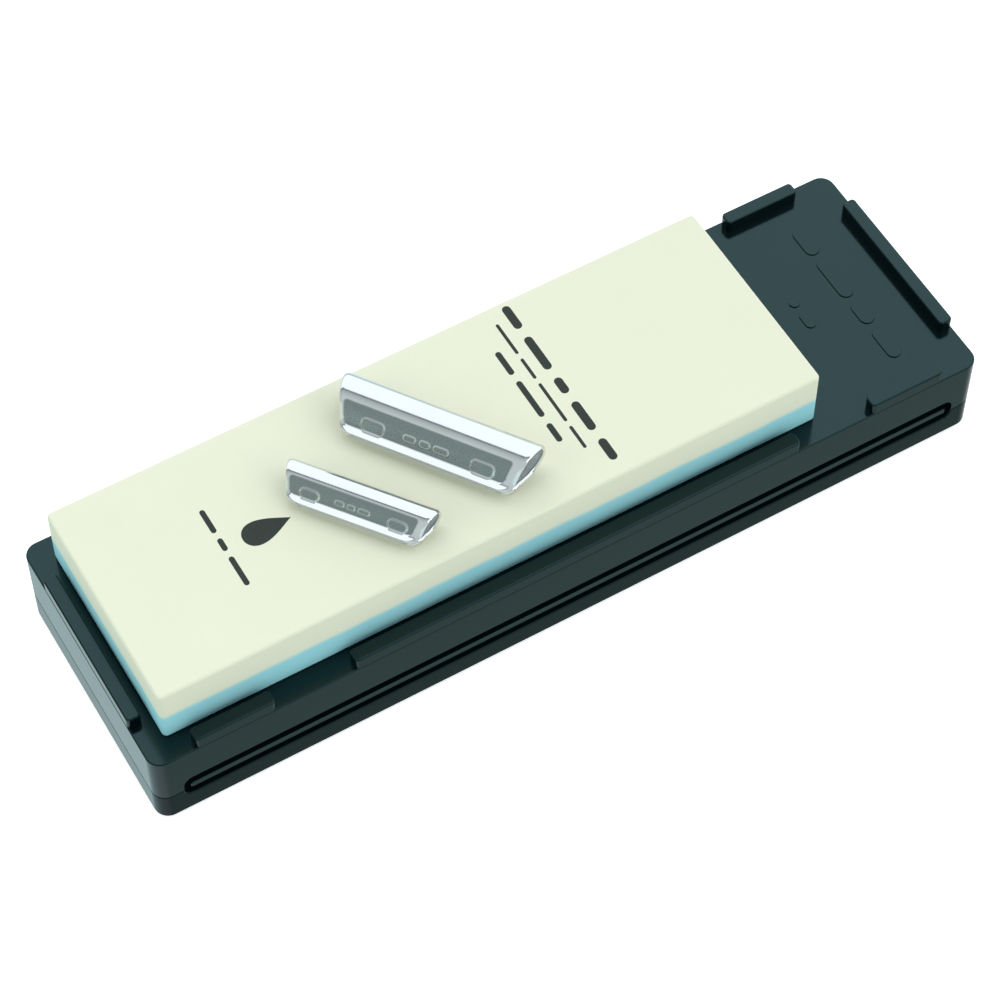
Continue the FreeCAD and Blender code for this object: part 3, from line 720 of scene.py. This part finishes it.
def floor_material():
    """Plain pale ground that glows a little, so that it stays almost white."""
    material, tree, shader = blank_material("pale_floor")
    skin = use_group(tree, SKIN, Texture_Scale=60.0, Scuff_Scale=3.0)
    base = blend_colours(tree, (skin, "Tone"), (0.93, 0.93, 0.93), (0.95, 0.95, 0.95))
    join(tree, *base, shader, "Base Color")
    shader.inputs["Roughness"].default_value = 0.9
    shader.inputs["Specular IOR Level"].default_value = 0.0
    shader.inputs["Emission Color"].default_value = (1, 1, 1, 1)
    shader.inputs["Emission Strength"].default_value = 0.6
    return material


def make_floor():
    """The pale ground, left out of reflections and of the light on the set."""
    mesh = bmesh.new()
    bmesh.ops.create_grid(mesh, x_segments=4, y_segments=4, size=FLOOR_HALF_SIZE)
    floor = piece_from(mesh, "floor", floor_material())
    floor.visible_glossy = False
    floor.visible_diffuse = False


def area_light(name, place, size, watts, colour):
    """A rectangular soft box that faces the middle of the set."""
    lamp = bpy.data.lights.new(name, "AREA")
    lamp.shape = "RECTANGLE"
    lamp.size, lamp.size_y = size
    lamp.energy = watts
    lamp.color = colour
    holder = bpy.data.objects.new(name, lamp)
    holder.location = place
    holder.rotation_mode = "QUATERNION"
    holder.rotation_quaternion = (Vector(SET_MIDDLE) - Vector(place)).to_track_quat("-Z", "Y")
    bpy.context.scene.collection.objects.link(holder)
    return holder


# The surroundings are two sets of bands, each (how far along its direction, from -1 to 1, and the
# colour there). The ground's give way to the sky's between the two heights of HORIZON.
SKY_TOWARDS = (0.818, 0.575, 0.0)
SKY_STOPS = (
    (-1.0, (0.62, 0.68, 0.68)),
    (-0.60, (0.60, 0.66, 0.66)),
    (-0.22, (0.42, 0.46, 0.46)),
    (-0.17, (0.15, 0.17, 0.18)),
    (-0.08, (0.15, 0.17, 0.18)),
    (-0.04, (1.17, 1.25, 1.29)),
    (1.0, (1.17, 1.25, 1.29)),
)
SHADED_TOWARDS = (0.339, -0.565, -0.753)
GROUND_STOPS = (
    (-1.0, (0.50, 0.64, 0.67)),
    (-0.05, (0.50, 0.64, 0.67)),
    (0.12, (0.72, 0.95, 0.98)),
    (0.42, (0.72, 0.95, 0.98)),
    (0.74, (0.80, 0.86, 0.88)),
    (0.84, (0.80, 0.86, 0.88)),
    (0.96, (0.42, 0.58, 0.55)),
    (1.0, (0.40, 0.56, 0.53)),
)
HORIZON = (-0.10, -0.03)


def along_direction(tree, place, direction):
    """How far each direction of the surroundings points along a given one, from -1 to 1."""
    towards = node_of(tree, "ShaderNodeVectorMath", operation="DOT_PRODUCT")
    towards.inputs[1].default_value = direction
    join(tree, place, "Generated", towards, 0)
    return towards, "Value"


def colour_bands(tree, source, bands):
    """A colour that runs through bands given as (value from -1 to 1, colour)."""
    share = remap(tree, source, -1.0, 1.0, 0.0, 1.0)
    ramp = node_of(tree, "ShaderNodeValToRGB")
    stops = ramp.color_ramp.elements
    while len(stops) < len(bands):
        stops.new(0.5)
    for stop, (spot, colour) in zip(stops, bands):
        stop.position = (spot + 1) / 2
        stop.color = (*colour, 1.0)
    join(tree, *share, ramp, "Fac")
    return ramp, "Color"


def make_sky():
    """Two soft boxes with a narrow dark gap between them, over pale ground that is shaded in front."""
    world = bpy.data.worlds.new("studio")
    world.use_nodes = True
    tree = world.node_tree
    place = node_of(tree, "ShaderNodeTexCoord")
    split = node_of(tree, "ShaderNodeSeparateXYZ")
    join(tree, place, "Generated", split, "Vector")
    sky = colour_bands(tree, along_direction(tree, place, SKY_TOWARDS), SKY_STOPS)
    ground = colour_bands(tree, along_direction(tree, place, SHADED_TOWARDS), GROUND_STOPS)
    above = remap(tree, (split, "Z"), *HORIZON, 0.0, 1.0)
    colour = blend_colours(tree, above, ground, sky)
    join(tree, *colour, tree.nodes["Background"], "Color")
    bpy.context.scene.world = world


def make_lights():
    """The surroundings, a soft box in front and a fill from the left."""
    make_sky()
    area_light("front_soft_box", (0.30, -0.92, 0.56), (0.55, 0.42), 1.25, (0.90, 1.0, 0.93))
    fill = area_light("left_fill", (-0.85, 0.05, 0.6), (0.6, 0.6), 1.4, (0.85, 1.0, 1.0))
    fill.visible_glossy = False


def light_case(pieces):
    """A large soft box behind the set, for the sheen of the case alone."""
    rear = area_light("rear_soft_box", (0.42, 0.72, 1.25), (1.5, 1.5), 7.4, (0.93, 0.98, 1.0))
    rear.visible_diffuse = False
    rear.visible_camera = False
    lit = bpy.data.collections.new("lit_by_rear_soft_box")
    for piece in pieces:
        lit.objects.link(piece)
    rear.light_linking.receiver_collection = lit


AZIMUTH = -30.195
ELEVATION = 56.342
DISTANCE = 0.9484
AIM = (-0.00208, 0.00205, 0.00483)
LENS = 116.68
SENSOR_WIDTH = 36.0


def make_camera():
    """A long lens that looks down on the front long side and the left end."""
    azimuth, elevation = math.radians(AZIMUTH), math.radians(ELEVATION)
    back = Vector((
        math.sin(azimuth) * math.cos(elevation),
        -math.cos(azimuth) * math.cos(elevation),
        math.sin(elevation)))
    camera = bpy.data.cameras.new("camera")
    camera.lens = LENS
    camera.sensor_width = SENSOR_WIDTH
    holder = bpy.data.objects.new("camera", camera)
    holder.location = Vector(AIM) + back * DISTANCE
    holder.rotation_mode = "QUATERNION"
    holder.rotation_quaternion = (-back).to_track_quat("-Z", "Y")
    bpy.context.scene.collection.objects.link(holder)
    bpy.context.scene.camera = holder


# ---------------------------------------------------------------- putting it together

def paint(node, material):
    """Give a CAD node a finished material in place of its plain one."""
    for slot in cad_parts[node].material_slots:
        slot.material = material


make_camera()
make_lights()
make_floor()
stone = stone_material("layered_abrasive")
for node in ("coarse_stone_layer", "stone_bond_line", "fine_stone_layer"):
    paint(node, stone)
lid_plastic = case_material("lid_plastic", LID_GLOSS)
paint("upper_case_shell", lid_plastic)
# The tray gets a copy of the lid plastic with a weaker sheen, as painted shade from the floor close to
# the case.
paint("lower_case_shell", case_material("tray_plastic_shaded", TRAY_GLOSS_SHADED))
rubber = rubber_material()
for node in ("foot_front_left", "foot_front_right", "foot_back_left", "foot_back_right"):
    paint(node, rubber)
steel = steel_material()
satin_steel = satin_steel_material()
for guide in GUIDES:
    build_guide(guide, steel, satin_steel)
printed_marks(ink_material())
dashes = plate_marks(lid_plastic)
light_case([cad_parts["upper_case_shell"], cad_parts["lower_case_shell"], dashes])
bpy.context.scene.view_settings.view_transform = "Standard"

bpy.context.view_layer.update()
